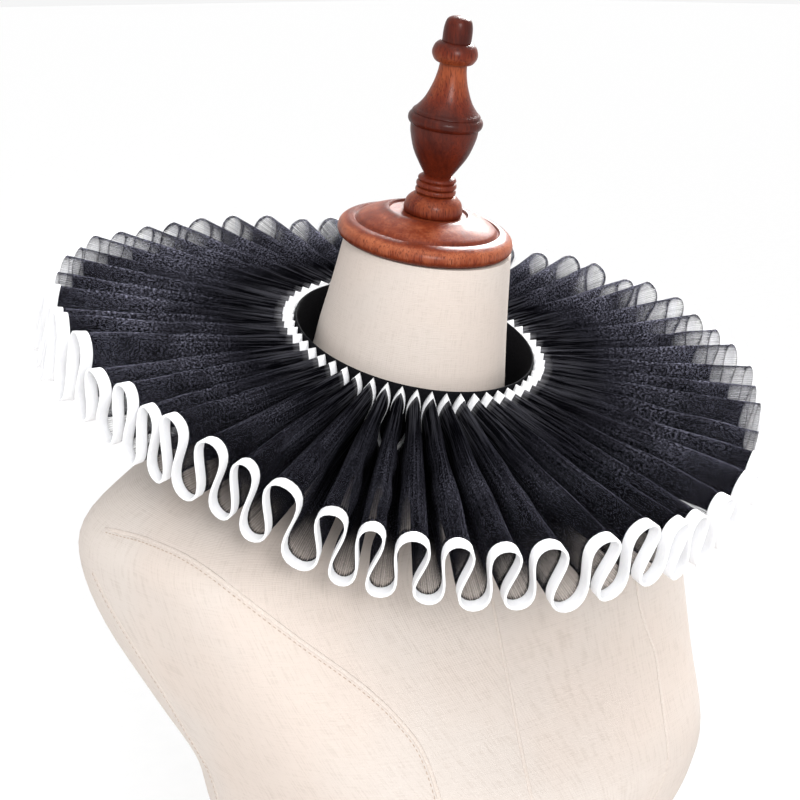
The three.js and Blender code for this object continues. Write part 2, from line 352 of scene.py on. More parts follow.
def section_ring(section):
    """One level section of the torso as a ring of points."""
    height, back, half, front, rear, square, tilt = section
    turn = np.linspace(0, 2 * math.pi, FORM_COLUMNS, endpoint=False)
    sideways = np.sign(np.cos(turn)) * np.abs(np.cos(turn)) ** (2 / square)
    depth = np.sign(np.sin(turn)) * np.abs(np.sin(turn)) ** (2 / square)
    depth = depth * np.where(np.sin(turn) > 0, rear, front)
    slope = math.radians(tilt)
    y = back - CAP_FORWARD + depth * math.cos(slope)
    z = NECK_TOP + height + depth * math.sin(slope)
    return np.stack([half * sideways, y, z], axis=1)


torso = [section_ring(row) for row in smooth_rows(SECTIONS, ROWS_BETWEEN)]
rise = running_length([ring[0] for ring in torso])
print("torso rows:", len(torso), "side seam length, mm:", round(rise[-1]))

# %% Linen woven to the form's own measure
GIRTH = 0.9
COVER_CRISP_ANGLE = 50

form_cover = cloth_grid(
    "form_cover",
    to_metres(torso, Matrix.Identity(4)),
    np.linspace(0, GIRTH, FORM_COLUMNS + 1),
    rise * MM,
)
select_only(form_cover)
bpy.ops.object.mode_set(mode="EDIT")
bpy.ops.mesh.select_mode(type="EDGE")
bpy.ops.mesh.select_all(action="DESELECT")
bpy.ops.mesh.select_non_manifold()
bpy.ops.mesh.edge_face_add()
bpy.ops.object.mode_set(mode="OBJECT")
turn_faces_outwards(form_cover)
smooth_up_to(form_cover, COVER_CRISP_ANGLE)
print("form cover faces:", len(form_cover.data.polygons))


# %% [markdown]
# ## Linen
# Linen is a plain weave of uneven yarn. Two waves at right angles give the weave, and noise
# that is stretched along each yarn gives the slubs: the longer, thicker stretches that catch
# the eye. A slow noise on the object's own coordinates warms the cloth in patches.


# %% Linen finish
LINEN_YARN = 0.0011
SLUB_WIDTH = 0.0012
SLUB_LENGTH = 0.016


def linen():
    material, shader, cloth = new_finish(
        "cream_linen", UV_SPACE, Roughness=0.9, Specular_IOR_Level=0.15
    )
    upright = cloth.part(0).wave(LINEN_YARN)
    level = cloth.part(1).wave(LINEN_YARN)
    slubs_up = cloth.stretched((1 / SLUB_WIDTH, 1 / SLUB_LENGTH, 1)).noise(detail=2.0)
    slubs_level = cloth.stretched((1 / SLUB_LENGTH, 1 / SLUB_WIDTH, 1)).noise(detail=2.0)
    body = cloth.node("ShaderNodeTexCoord", output=OBJECT_SPACE)
    patches = body.noise(scale=9.0, detail=2.0)
    warm = patches.ramp((0.42, (0.680, 0.613, 0.563)), (0.62, (0.690, 0.602, 0.542)))
    threads = (slubs_up * 0.6 + slubs_level * 0.4).ramp((0.36, 1.0), (0.50, 0.0))
    color = (threads * 0.30).choose(warm, (0.47, 0.40, 0.345))
    feed(shader, "Base Color", color)
    relief = (upright + level) * 0.25 + slubs_up * 0.9 + slubs_level * 0.6
    feed_bump(shader, relief, 0.0004, 0.5)
    return material


finish_piece(form_cover, linen(), "form_linen", "form_body")

# %% [markdown]
# ## Seams of the cover
# The cover's panels meet in long seams: one down each side, one from each shoulder over the
# chest, and one near the middle, front and back. Each is a low welt that follows the torso.
# Its route is a short table of heights and turns round the form. A ray from inside the form
# finds the surface at each place, so the welt always lies on the cloth.

# %% Routes of the seams, as height below the neck's top and turn from the front
SEAMS = {
    "side_right": [(-186, -110), (-211, -107), (-262, -100), (-310, -97), (-364, -94),
                   (-432, -92), (-540, -91), (-634, -90)],
    "chest_right": [(-159, -108), (-157, -97), (-161, -86), (-176, -76), (-211, -63),
                    (-249, -49), (-279, -42), (-330, -38), (-400, -37), (-540, -37), (-634, -38)],
    "front": [(-140, -17), (-220, -18.5), (-256, -19.5), (-301, -21), (-364, -21), (-634, -20)],
    "chest_left": [(-176, 62), (-205, 50), (-237, 40.5), (-262, 36), (-281, 30), (-304, 22),
                   (-331, 18), (-400, 18), (-634, 19)],
    "side_left": [(-186, 104), (-262, 98), (-310, 95), (-364, 93), (-432, 91), (-634, 90)],
    "back": [(-130, 180), (-229, 180), (-364, 180), (-634, 180)],
    "back_right": [(-170, -135), (-229, -143), (-311, -147), (-432, -148), (-634, -146)],
    "back_left": [(-170, 135), (-229, 143), (-311, 147), (-432, 148), (-634, 146)],
}
STITCHED = ("side_right", "side_left", "chest_right")
ROUTE_STEPS = 24
WELT_STEP = 5.0

cover_surface = BVHTree.FromObject(form_cover, bpy.context.evaluated_depsgraph_get())


def on_cover(height, turn):
    """Where a ray from the form's middle meets its cover, and which way the cloth faces."""
    start = Vector((0, -CAP_FORWARD, NECK_TOP + height)) * MM
    heading = Vector((math.sin(math.radians(turn)), -math.cos(math.radians(turn)), 0))
    place, normal, _, _ = cover_surface.ray_cast(start, heading)
    if normal.dot(heading) < 0:
        normal = -normal
    return np.array(place) / MM, np.array(normal)


def at_distance(distance, run, rows):
    """A line's place or normal at one distance along it, or at several."""
    return np.stack([np.interp(distance, run, rows[:, k]) for k in range(3)], axis=-1)


def seam_line(route):
    """Places and normals along a seam, about one step apart, and how far along they are."""
    rows = [on_cover(*row) for row in smooth_rows(route, ROUTE_STEPS)]
    places = np.array([place for place, _ in rows])
    normals = np.array([normal for _, normal in rows])
    run = running_length(places)
    even = np.linspace(0, run[-1], int(run[-1] / WELT_STEP) + 1)
    return at_distance(even, run, places), unit(at_distance(even, run, normals)), even


seam_lines = {name: seam_line(route) for name, route in SEAMS.items()}
print("seam lengths, mm:", {name: round(line[2][-1]) for name, line in seam_lines.items()})

# %% Low welts along the seams
WELT_HALF_WIDTH = 1.3
WELT_RISE = 0.25
WELT_SIDES = 8
WELT_END = 0.3
WELT_GROWTH = 0.35


def oval(middle, across, up, sides):
    """A ring of points round a middle, from its two half axes."""
    turns = [2 * math.pi * side / sides for side in range(sides)]
    return [(middle + across * math.cos(turn) + up * math.sin(turn)) * MM for turn in turns]


def closed_tube(rings):
    """Points and faces of a tube through rings, with both ends closed."""
    count = len(rings[0])
    points = [tuple(p) for ring in rings for p in ring]
    faces = []
    for row in range(len(rings) - 1):
        for step in range(count):
            after = (step + 1) % count
            low, high = row * count, (row + 1) * count
            faces.append((low + step, low + after, high + after, high + step))
    faces.append(tuple(range(count - 1, -1, -1)))
    faces.append(tuple(range(len(points) - count, len(points))))
    return points, faces


def joined_mesh(name, parts):
    """One object from several lists of points and faces."""
    points = []
    faces = []
    for part_points, part_faces in parts:
        faces += [tuple(len(points) + corner for corner in face) for face in part_faces]
        points += part_points
    piece = new_piece(name, points, faces)
    turn_faces_outwards(piece)
    return piece


def welt(places, normals):
    """A flat tube along a seam, which tapers at its two ends."""
    last = len(places) - 1
    rings = []
    for index, (place, normal) in enumerate(zip(places, normals)):
        ahead = places[min(index + 1, last)] - places[max(index - 1, 0)]
        size = min(1.0, WELT_END + WELT_GROWTH * min(index, last - index))
        across = unit(np.cross(ahead, normal)) * WELT_HALF_WIDTH * size
        rings.append(oval(place, across, normal * WELT_RISE * size, WELT_SIDES))
    return closed_tube(rings)


form_seams = joined_mesh("form_seams", [welt(line[0], line[1]) for line in seam_lines.values()])
print("welts:", len(seam_lines))

# %% Stitches beside the seams
STITCH_PITCH = 3.6
STITCH_FROM_SEAM = 2.6
STITCH_HALF_LENGTH = 1.1
STITCH_HALF_WIDTH = 0.28
STITCH_SIDES = 6
STITCH_OUTLINE = [
    # share of the half length, share of the half width
    (-1, 0.35),
    (-0.6, 1),
    (0.6, 1),
    (1, 0.35),
]


def stitch(place, normal, ahead):
    across = np.cross(ahead, normal)
    rings = []
    for share, size in STITCH_OUTLINE:
        middle = place + ahead * STITCH_HALF_LENGTH * share
        width = STITCH_HALF_WIDTH * size
        rings.append(oval(middle, across * width, normal * width, STITCH_SIDES))
    return closed_tube(rings)


stitches = []
for name in STITCHED:
    places, normals, run = seam_lines[name]
    for distance in np.arange(STITCH_PITCH, run[-1] - STITCH_PITCH, STITCH_PITCH):
        place = at_distance(distance, run, places)
        ahead = unit(at_distance(distance + 1, run, places) - place)
        normal = at_distance(distance, run, normals)
        normal = unit(normal - ahead * normal.dot(ahead))
        stitches.append(stitch(place + np.cross(ahead, normal) * STITCH_FROM_SEAM, normal, ahead))
form_stitches = joined_mesh("form_stitches", stitches)
print("stitches:", len(stitches))


# %% Seam and thread finishes
def seam_linen():
    material, shader, body = new_finish("seam_linen", OBJECT_SPACE, Roughness=0.9)
    grain = body.noise(scale=900.0, detail=2.0)
    color = grain.ramp((0.3, (0.645, 0.555, 0.49)), (0.7, (0.72, 0.645, 0.59)))
    feed(shader, "Base Color", color)
    feed_bump(shader, grain, 0.0003, 0.4)
    return material


def linen_thread():
    material, shader, body = new_finish("linen_thread", OBJECT_SPACE, Roughness=0.7)
    twist = body.noise(scale=2500.0, detail=1.0)
    color = twist.ramp((0.3, (0.40, 0.30, 0.23)), (0.7, (0.60, 0.48, 0.39)))
    feed(shader, "Base Color", color)
    feed_bump(shader, twist, 0.0001, 0.5)
    return material


finish_piece(form_seams, seam_linen(), "form_linen")
finish_piece(form_stitches, linen_thread(), "form_linen")

# %% [markdown]
# ## The turned cap and finial
# Both pieces come off a lathe, so each is one outline carried round an axis. By hand this is
# a circle that is extruded upwards again and again and resized to the outline's next radius.
# The outline is a short table of radius and height. Where a row is marked as a corner the
# tool leaves a crisp edge, and the rows between corners are joined by a smooth curve.

# %% Outlines of the turned pieces, in millimetres
CAP_OUTLINE = [
    # radius, height, corner
    (50.4, 0, True),
    (52.6, 0.6, False),
    (54.6, 2.6, False),
    (55.2, 5.4, False),
    (53.8, 8.9, False),
    (50.2, 11.5, False),
    (46.2, 12.4, True),
    (45.1, 11.5, True),
    (43.9, 12.6, True),
    (42.2, 14.1, False),
    (36, 17.2, False),
    (30.5, 19.3, False),
    (27.2, 20.5, False),
    (25.0, 20.8, True),
    (23.9, 19.5, True),
    (12.0, 19.5, True),
]
FINIAL_OUTLINE = [
    (17.9, 0, True),
    (18.3, 1.2, False),
    (18.2, 4.1, False),
    (16.9, 8.2, False),
    (13.3, 11.6, False),
    (11.2, 12.4, True),
    (12.4, 13.2, False),
    (12.7, 14.4, False),
    (12.3, 15.7, False),
    (11.1, 16.3, True),
    (12.3, 17.0, False),
    (12.6, 18.3, False),
    (12.2, 19.6, False),
    (11.1, 20.3, True),
    (11.7, 21.0, False),
    (11.9, 22.0, False),
    (11.0, 23.2, False),
    (8.6, 24.5, True),
    (12, 29.7, False),
    (17.2, 38.9, False),
    (20.4, 49.4, False),
    (21.0, 55.2, True),
    (22.4, 56.4, False),
    (23.1, 58.6, False),
    (22.6, 60.9, False),
    (20.9, 62.6, True),
    (21.1, 63.2, False),
    (20.4, 64.2, True),
    (18.4, 66.0, False),
    (14.4, 71.6, False),
    (10.8, 80.5, False),
    (8.9, 88.2, False),
    (8.3, 93.7, True),
    (11.8, 95.0, False),
    (14, 99.4, False),
    (12.8, 104.2, False),
    (10.2, 106.6, False),
    (8.8, 106.9, True),
    (8.9, 111.5, False),
    (8.6, 116.0, False),
    (7.4, 120.0, False),
    (4.6, 121.9, False),
    (1.6, 122.4, True),
]
print("outline rows:", len(CAP_OUTLINE), "and", len(FINIAL_OUTLINE))

# %% Lathe work from the outlines
SEAT_GAP = 0.3
CAP_ASIDE = (-1.8, 1.7)
LATHE_STEPS = 4
LATHE_SIDES = 72
TURNED_CRISP_ANGLE = 38


def lathe_rows(outline):
    """The outline with smooth stretches between its corners."""
    corners = [index for index, row in enumerate(outline) if row[2]]
    rows = []
    for start, end in zip(corners, corners[1:]):
        stretch = [row[:2] for row in outline[start:end + 1]]
        rows += smooth_rows(stretch, LATHE_STEPS if end - start > 1 else 1)[:-1]
    return rows + [np.array(outline[-1][:2], float)]


def turned_piece(name, outline, foot, aside=(0, 0)):
    """Lathe work, with its foot this high above the neck's top and this far off its middle."""
    rows = lathe_rows(outline)
    bpy.ops.object.select_all(action="DESELECT")
    bpy.ops.mesh.primitive_circle_add(
        vertices=LATHE_SIDES, radius=rows[0][0] * MM, fill_type="NGON", location=(0, 0, 0)
    )
    piece = bpy.context.object
    piece.name = name
    piece.data.name = name
    bpy.ops.object.mode_set(mode="EDIT")
    bpy.ops.mesh.select_mode(type="FACE")
    bpy.ops.mesh.select_all(action="SELECT")
    for before, row in zip(rows, rows[1:]):
        lift = (0, 0, (row[1] - before[1]) * MM)
        bpy.ops.mesh.extrude_region_move(TRANSFORM_OT_translate={"value": lift})
        size = row[0] / before[0]
        middle = (0, 0, row[1] * MM)
        bpy.ops.transform.resize(value=(size, size, 1), center_override=middle)
    bpy.ops.object.mode_set(mode="OBJECT")
    turn_faces_outwards(piece)
    place = neck_place @ Matrix.Translation((*aside, foot))
    piece.data.transform(Matrix.Scale(MM, 4) @ place @ Matrix.Scale(1 / MM, 4))
    smooth_up_to(piece, TURNED_CRISP_ANGLE)
    open_edges = len(piece.data.edges) * 2 - sum(len(f.vertices) for f in piece.data.polygons)
    print(name, "rows:", len(rows), "open edges:", open_edges)
    return piece


finial_foot = SEAT_GAP + CAP_OUTLINE[-1][1] + SEAT_GAP
cap = turned_piece("cap", CAP_OUTLINE, SEAT_GAP, CAP_ASIDE)
finial = turned_piece("turned_finial", FINIAL_OUTLINE, finial_foot)


# %% [markdown]
# ## Stained and lacquered wood
# The wood is a close-grained hardwood with a red-brown stain under gloss lacquer. The grain
# runs along the lathe's axis: a slow noise, drawn out along that axis, sets the light and dark
# of the stain, and a finer one cuts short dark pores. Bands along the axis lighten and darken
# the stain as painted light and shade, with painted highlights on the curves. The lacquer is
# the shader's clear coat, and a faint waviness in the surface breaks up its reflections.


# %% Wood finish
neck_axis = Vector(neck_place.col[2][:3])
NECK_TOP_ALONG_AXIS = neck_axis.dot(neck_place.translation) * MM


def lacquered_wood(name, dark, middle, light, foot, tall, painted_light_bands):
    """Wood with painted light and shade: bands along the lathe's axis lighten and darken its
    stain.
    """
    material, shader, body = new_finish(
        name, OBJECT_SPACE, Coat_Weight=0.20, Coat_Roughness=0.26, Specular_IOR_Level=0.10
    )
    lean = (math.radians(-NECK_LEAN), 0, 0)
    height = body.stretched((1, 1, 1), lean).part(2)
    share = (height - (NECK_TOP_ALONG_AXIS + foot * MM)) / (tall * MM)
    figure = body.stretched((90, 90, 22), lean).noise(detail=4.0, roughness=0.6)
    streaks = body.stretched((520, 520, 60), lean).noise(detail=3.0, roughness=0.6)
    pores = body.stretched((1500, 1500, 190), lean).noise(detail=2.0, roughness=0.5)
    # Painted light and shade: the bands lighten the stain where light falls on the turned shapes
    # and darken it where shade falls, with painted highlights on the curves.
    band = share.clamped().ramp(*painted_light_bands)
    grain_and_painted_light = figure * 0.36 + streaks * 0.22 + band * 0.42
    stain_and_painted_light = grain_and_painted_light.ramp((0.33, dark), (0.50, middle), (0.68, light))
    cut = pores.ramp((0.36, 1.0), (0.46, 0.0))
    feed(shader, "Base Color", (cut * 0.7).choose(stain_and_painted_light, dark))
    feed(shader, "Roughness", streaks * 0.25 + 0.30)
    feed_bump(shader, figure * 0.6 + streaks * 0.3 - cut * 0.5, 0.00035, 0.35)
    return material


cap_wood = lacquered_wood(
    "cap_wood",
    dark=(0.070, 0.009, 0.004),
    middle=(0.20, 0.034, 0.011),
    light=(0.40, 0.115, 0.050),
    foot=0,
    tall=21,
    painted_light_bands=[(0.0, 0.15), (0.22, 0.60), (0.48, 0.85), (0.58, 0.35), (0.70, 0.55), (0.90, 0.55),
           (1.0, 0.25)],
)
finial_wood = lacquered_wood(
    "finial_wood",
    dark=(0.045, 0.005, 0.002),
    middle=(0.125, 0.016, 0.005),
    light=(0.28, 0.062, 0.021),
    foot=20,
    tall=122,
    painted_light_bands=[(0.0, 0.40), (0.06, 0.72), (0.16, 0.55), (0.26, 0.32), (0.44, 0.22), (0.52, 0.08),
           (0.60, 0.55), (0.74, 0.95), (0.80, 0.70), (0.88, 0.18), (1.0, 0.30)],
)
finish_piece(cap, cap_wood, "turned_wood", "neck_cap")
finish_piece(finial, finial_wood, "turned_wood", "finial")

# %% [markdown]
# ## The ruff's pleats
# The ruff is one strip of cloth that snakes up and down as it goes round. At the neck its
# pleats are tight and even. At the outer edge they open into round loops, and because they
# were set by hand they lean, crowd and reach a little differently. The same few measures
# that shaped the solid shape the fine cloth, so the two agree everywhere.

# %% Measures of the ruff, in millimetres
LOOPS = 54
BAND_RADIUS = 78
RUFF_RADIUS = 229
INNER_HEIGHT = 40
OUTER_HEIGHT = 44
OUTER_DROP = 5
INNER_RIBBON = 6.5
OUTER_RIBBON = 8
SEAM = 0.5
EDGE_SWAY = [
    {"turns": 1, "lift": (10, 8.7), "reach": (-5.4, 1.3), "height": (-3, -3)},
    {"turns": 2, "lift": (-9.6, 6.4), "reach": (8.7, 5.9), "height": (0, 0)},
]
SWELL = 0.19
NECK_SWELL = 0.25
POINTED = 0.85
EVEN_PITCH = 2 * math.pi / LOOPS
STRIP = RUFF_RADIUS - BAND_RADIUS
print("strip from band to edge, mm:", STRIP)

# %% [markdown]
# ## Loops that were set by hand
# Along the front and the wearer's right each loop has a row of its own, because there the eye
# compares them one by one. A row moves the loop's upper and lower arc round the ruff by a few
# degrees, and lifts or lowers each of them. The loops at the far side stray at random instead.

# %% Strays of the loops from their even places
SET_LOOPS = [
    # loop, turn, low, rise, drop
    (-17, -1.9, 0.5, 1.6, 3),
    (-16, 0.7, 2.4, 5, 6.5),
    (-15, 1.8, 3.6, -4.5, 6.5),
    (-14, 3, 3.1, 2.4, 5.5),
    (-13, 0.6, 1.9, -2.7, 4.5),
    (-12, -0.6, 0.8, 3, 4.8),
    (-11, 0.8, 1.1, 2, 5.4),
    (-10, 0.1, -0.3, 0, 1),
    (-9, -0.4, 1.5, -2.2, -3.3),
    (-8, 1.7, 1.1, -6.7, -5.3),
    (-7, 0.8, -0.1, -8, -5.7),
    (-6, 0.2, 0.8, -8, -4.4),
    (-5, -0.3, 0.3, -5.7, -2),
    (-4, 0, 0.1, -4.7, -0.8),
    (-3, -0.3, 0.9, -2.7, -2.5),
    (-2, 1.5, 0.2, 1.8, 2),
    (-1, 1.9, 1.3, 4.5, 3.4),
    (0, 1.7, -0.7, 0.5, 2.7),
    (1, -0.6, -1, -2.7, 1),
    (2, -2, -1, 1.1, 0),
]
TURN_SPREAD = 1.5
LIFT_SPREAD = 3
REACH_SPREAD = 2.4
SCATTER = {"by_loop": 127.1, "by_use": 311.7, "stretch": 43758.5453}
# Each use of the unevenness has a number, so that no two of them stray together.
UPPER_TURN, LOWER_TURN, RISE, DROP, UPPER_REACH, LOWER_REACH = range(1, 7)
DEPTH, LENGTH, START = range(7, 10)


def mix(start, end, share):
    return start + (end - start) * share


def uneven(loop, use):
    """Repeatable unevenness from -1 to 1, one value for each loop and use."""
    value = math.sin(loop * SCATTER["by_loop"] + use * SCATTER["by_use"]) * SCATTER["stretch"]
    return 2 * (value - math.floor(value)) - 1


def straying_arcs():
    """Side, even angle, stray, lift and stray reach of each arc, from the front towards +X."""
    rows = {row[0] % LOOPS: row[1:] for row in SET_LOOPS}
    arcs = []
    for loop in range(LOOPS):
        chance = [TURN_SPREAD * uneven(loop, UPPER_TURN), TURN_SPREAD * uneven(loop, LOWER_TURN),
                  LIFT_SPREAD * uneven(loop, RISE), LIFT_SPREAD * uneven(loop, DROP)]
        turn, low, rise, drop = rows.get(loop, chance)
        upper_out = REACH_SPREAD * uneven(loop, UPPER_REACH)
        lower_out = REACH_SPREAD * uneven(loop, LOWER_REACH)
        arcs.append((1, loop * EVEN_PITCH, math.radians(turn), rise, upper_out))
        arcs.append((-1, (loop + 0.5) * EVEN_PITCH, math.radians(low), drop, lower_out))
    return arcs


ARCS = straying_arcs()
print("arcs:", len(ARCS), "set by hand:", len(SET_LOOPS))


# %% Where the outer edge and each arc's top are
def edge_at(angle):
    """Lift, radius and loop height of the outer edge at an angle from the front."""
    lift, radius, height = 0, RUFF_RADIUS, OUTER_HEIGHT
    for sway in EDGE_SWAY:
        along, across = math.cos(sway["turns"] * angle), math.sin(sway["turns"] * angle)
        lift += sway["lift"][0] * along + sway["lift"][1] * across
        radius += sway["reach"][0] * along + sway["reach"][1] * across
        height += sway["height"][0] * along + sway["height"][1] * across
    return lift, radius, height


def arc_tip(arc, reach):
    """Angle, distance out and height of an arc's top, at a reach from 0 at the band to 1."""
    side, neck_angle, stray, arc_lift, arc_out = arc
    angle = neck_angle + reach * stray
    lift, radius, edge_height = edge_at(angle)
    height = mix(INNER_HEIGHT, edge_height, reach)
    middle = mix(-INNER_HEIGHT / 2, lift - OUTER_DROP - OUTER_HEIGHT / 2, reach)
    out = mix(BAND_RADIUS, radius, reach) + reach * reach * arc_out
    return angle, out, middle + side * height / 2 + reach * arc_lift


print("edge radius at front and back, mm:", [round(edge_at(turn)[1]) for turn in (0, math.pi)])

# %% [markdown]
# ## Round loops joined by soft diagonals
# From each arc's top to the next the cloth runs along half a cosine wave. A second, faster
# wave moves it sideways, so it swells beyond its arc and comes back across the diagonal: that
# is what makes the loops pinch like a figure of eight. Close to the neck the wave turns into
# a pointed fold, where the pleats are pressed flat to be sewn. A slow ripple, with its own
# length and depth on each side of each pleat, gives the stiff cloth its soft troughs.

# %% One ring of the cloth, at one distance from the neck
WAVE_POINTS = 15
TROUGH_DEPTH = 2.2
TROUGH_LENGTH = 0.55
TROUGH_LENGTH_SPREAD = 0.35
TROUGH_LIFT = 0.5


def ring_at(distance):
    """The cloth's middle at a distance out from the neck band, in the ruff's own frame."""
    reach = distance / STRIP
    tips = [arc_tip(arc, reach) for arc in ARCS]
    count = len(tips)

    def angle_of(index):
        return tips[index % count][0] + (index // count) * 2 * math.pi

    swell_share = mix(NECK_SWELL, SWELL, reach)
    share = np.arange(WAVE_POINTS) / WAVE_POINTS
    turn = math.pi * share
    down = mix((1 - np.cos(turn)) / 2, share, POINTED * (1 - reach))
    rows = []
    for index, (angle, out, up) in enumerate(tips):
        _, next_out, next_up = tips[(index + 1) % count]
        swells = (angle_of(index + 2) - angle, angle_of(index + 1) - angle_of(index - 1))
        swell = swell_share * mix(swells[0], swells[1], share) * np.sin(2 * turn)
        here = mix(angle, angle_of(index + 1), share) + swell
        length = TROUGH_LENGTH + TROUGH_LENGTH_SPREAD * uneven(index, LENGTH)
        start = uneven(index, START)
        trough = math.sin(2 * math.pi * (reach / length + start)) * math.sin(math.pi * reach)
        depth = TROUGH_DEPTH * uneven(index, DEPTH) * trough
        away = mix(out, next_out, down)
        here = here + depth * np.sin(turn) ** 2 / away
        height = mix(up, next_up, down) + TROUGH_LIFT * depth * np.cos(2 * turn)
        rows.append(np.stack([away * np.sin(here), -away * np.cos(here), height], axis=1))
    return np.concatenate(rows)


def strip(name, start, end, rows, thickness):
    """A stretch of the ruff's strip between two distances from the band, as thin cloth."""
    distances = np.linspace(start, end, rows)
    rings = [ring_at(distance) for distance in distances]
    run = running_length(np.vstack([rings[-1], rings[-1][:1]]))
    piece = cloth_grid(name, to_metres(rings, ruff_place), run * MM, distances * MM)
    apply_modifier(
        piece, "SOLIDIFY", thickness=thickness * MM, offset=0, use_even_offset=True,
        use_quality_normals=True,
    )
    print(name, "cut:", round(run[-1]), "mm long and", round(end - start, 1), "mm wide")
    return piece, run[-1] * MM


# %% [markdown]
# ## The organza, and the ribbons on its edges
# The organza takes most of the strip. The white ribbons bind its two edges: a narrow one
# where the pleats are sewn to the band, and a wider one that draws the loops at the outer
# edge. All three use the same rings, so they meet edge to edge.

# %% Organza and ribbons
ORGANZA_WALL = 0.25
EDGE_RIBBON_WALL = 1.4
EDGE_RIBBON_ROUNDING = 0.35
NECK_RIBBON_WALL = 0.9
ORGANZA_FROM = SEAM + INNER_RIBBON
ORGANZA_TO = STRIP - OUTER_RIBBON

organza, strip_length = strip(
    "organza_ruffle", ORGANZA_FROM, ORGANZA_TO, rows=22, thickness=ORGANZA_WALL
)
edge_ribbon, _ = strip("edge_ribbon", ORGANZA_TO, STRIP, rows=5, thickness=EDGE_RIBBON_WALL)
apply_modifier(
    edge_ribbon, "BEVEL", width=EDGE_RIBBON_ROUNDING * MM, segments=2, limit_method="ANGLE"
)
neck_ribbon, _ = strip("neck_ribbon", SEAM, ORGANZA_FROM, rows=4, thickness=NECK_RIBBON_WALL)


# %% [markdown]
# ## Sheer black organza
# Organza is an open weave of fine stiff yarn, so light passes between the threads. One layer
# lets most of the light through, two let less, and a stack of pleats looks black. Cloth seen
# at a slant hides more, because its threads close up in front of each other: that draws the
# dark line round every loop. The yarns run in streaks, and their grey on the black is a
# painted sheen. Towards the neck the yarns are drawn together into close streaks, painted a
# lighter grey as a stronger painted sheen. Towards the edge painted glints, small specks of
# painted highlight, stand in for the sparkle of the stiff yarns. They are rare along the
# front and the wearer's right.


# %% Organza finish
ORGANZA_YARN = 0.0013
YARN_STRAY = 0.0012
EDGE_ON = 0.015
# Yarn colours: the black is the cloth's own, while the grey, drawn and glint colours are painted
# sheen and painted highlights.
BLACK_YARN = (0.0004, 0.0004, 0.0009)
SHEEN_GREY_YARN = (0.020, 0.020, 0.026)
PAINTED_GLINT = (0.26, 0.26, 0.34)
DRAWN_YARN_SHEEN = (0.10, 0.10, 0.115)
YARN_OVER_WHITE = (0.24, 0.24, 0.255)


def sheer_organza():
    material, shader, cloth = new_finish(
        "black_organza", UV_SPACE, Roughness=0.55, Specular_IOR_Level=0.0
    )
    along, out = cloth.part(0), cloth.part(1)
    reach = (out / (STRIP * MM)).clamped()
    stray = cloth.stretched((140, 20, 1)).noise(detail=2.0)
    yarns = (along + stray * YARN_STRAY).wave(ORGANZA_YARN)
    fine = cloth.stretched((800, 560, 1)).noise(detail=4.0, roughness=0.8)
    drawn = cloth.stretched((560, 16, 1)).noise(detail=3.0, roughness=0.7)
    streaks = drawn.ramp((0.46, 0.0), (0.62, 1.0))
    # Painted glints: bright specks painted into the base colour as highlights, growing towards
    # the edge.
    painted_glints = fine.ramp((0.48, 0.0), (0.60, 1.0)) * reach.ramp((0.25, 0.0), (0.72, 1.0))
    patches = cloth.stretched((16, 26, 1)).noise(detail=2.0)
    painted_glints = painted_glints * patches.ramp((0.36, 0.4), (0.56, 1.0))
    # Where round the ruff the painted glints show: rare along the front and the wearer's right.
    painted_glint_share = (along / strip_length).ramp(
        (0.02, 0.35), (0.10, 1.0), (0.70, 1.0), (0.80, 0.25), (0.98, 0.25)
    )
    # Painted sheen: the real yarn streaks are painted grey on the black, standing in for light on
    # the yarns.
    yarn_sheen_lines = streaks * 0.8 + yarns * 0.2
    color = yarn_sheen_lines.choose(BLACK_YARN, SHEEN_GREY_YARN)
    color = (painted_glints * painted_glint_share).choose(color, PAINTED_GLINT)
    # Painted sheen near the neck: the drawn-together yarns are painted a lighter grey.
    near_neck_sheen = out.fading(0.010, 25.0) * streaks * 0.5
    color = near_neck_sheen.choose(color, DRAWN_YARN_SHEEN)
    over_ribbon = out.fading(0.0080, 220.0) * (streaks * 0.5 + 0.3)
    feed(shader, "Base Color", over_ribbon.choose(color, YARN_OVER_WHITE))
    facing = 1.0 - cloth.node("ShaderNodeLayerWeight", {"Blend": 0.5}, output=1)
    spread = reach.ramp((0.15, 0.24), (0.60, 0.46), (0.75, 0.87), (0.94, 0.985))
    open_share = spread - yarns * 0.06 + (fine - 0.5) * 0.16 - streaks * 0.05
    slant = 1.0 / (facing * facing + EDGE_ON)
    cover = 1.0 - open_share.clamped() ** slant
    feed(shader, "Alpha", cover.clamped())
    feed_bump(shader, yarns * 0.4 + drawn * 1.5 + fine * 0.5, 0.0006, 0.7)
    return material


finish_piece(organza, sheer_organza(), "black_organza", "ruffle")


# %% [markdown]
# ## White ribbon
# The ribbon is a close white weave with a soft sheen. Its fine ribs run across its width, and
# a faint uneven pull along it keeps the white from looking like paint.


# %% Ribbon finish
RIBBON_RIB = 0.0009


def white_ribbon():
    material, shader, cloth = new_finish(
        "white_ribbon", UV_SPACE, Roughness=0.45, Sheen_Weight=0.25, Specular_IOR_Level=0.35
    )
    ribs = cloth.part(0).wave(RIBBON_RIB)
    pull = cloth.stretched((220, 900, 1)).noise(detail=2.0)
    color = pull.ramp((0.3, (0.90, 0.905, 0.93)), (0.7, (0.95, 0.95, 0.96)))
    feed(shader, "Base Color", color)
    feed_bump(shader, ribs * 0.5 + pull * 0.8, 0.0003, 0.35)
    return material


ribbon_finish = white_ribbon()
finish_piece(edge_ribbon, ribbon_finish, "white_ribbon", "outer_ribbon")
finish_piece(neck_ribbon, ribbon_finish, "white_ribbon", "inner_ribbon")

# %% [markdown]
# ## The neck band
# A straight band of matt black cloth closes round the neck and holds every inner pleat. Its
# two long edges are folded under, and a shallow groove follows each fold.

# %% Band and its folded edges
BAND_WALL = 1.1
BAND_ABOVE = 1.5
BAND_MIDDLE = 77.2
BAND_ROWS = 15
BAND_COLUMNS = 160
BAND_INSET = 0.4
BAND_ROUNDING = 0.3
HEM_GROOVE = 0.2
HEM_FROM = 1
HEM_TO = 7

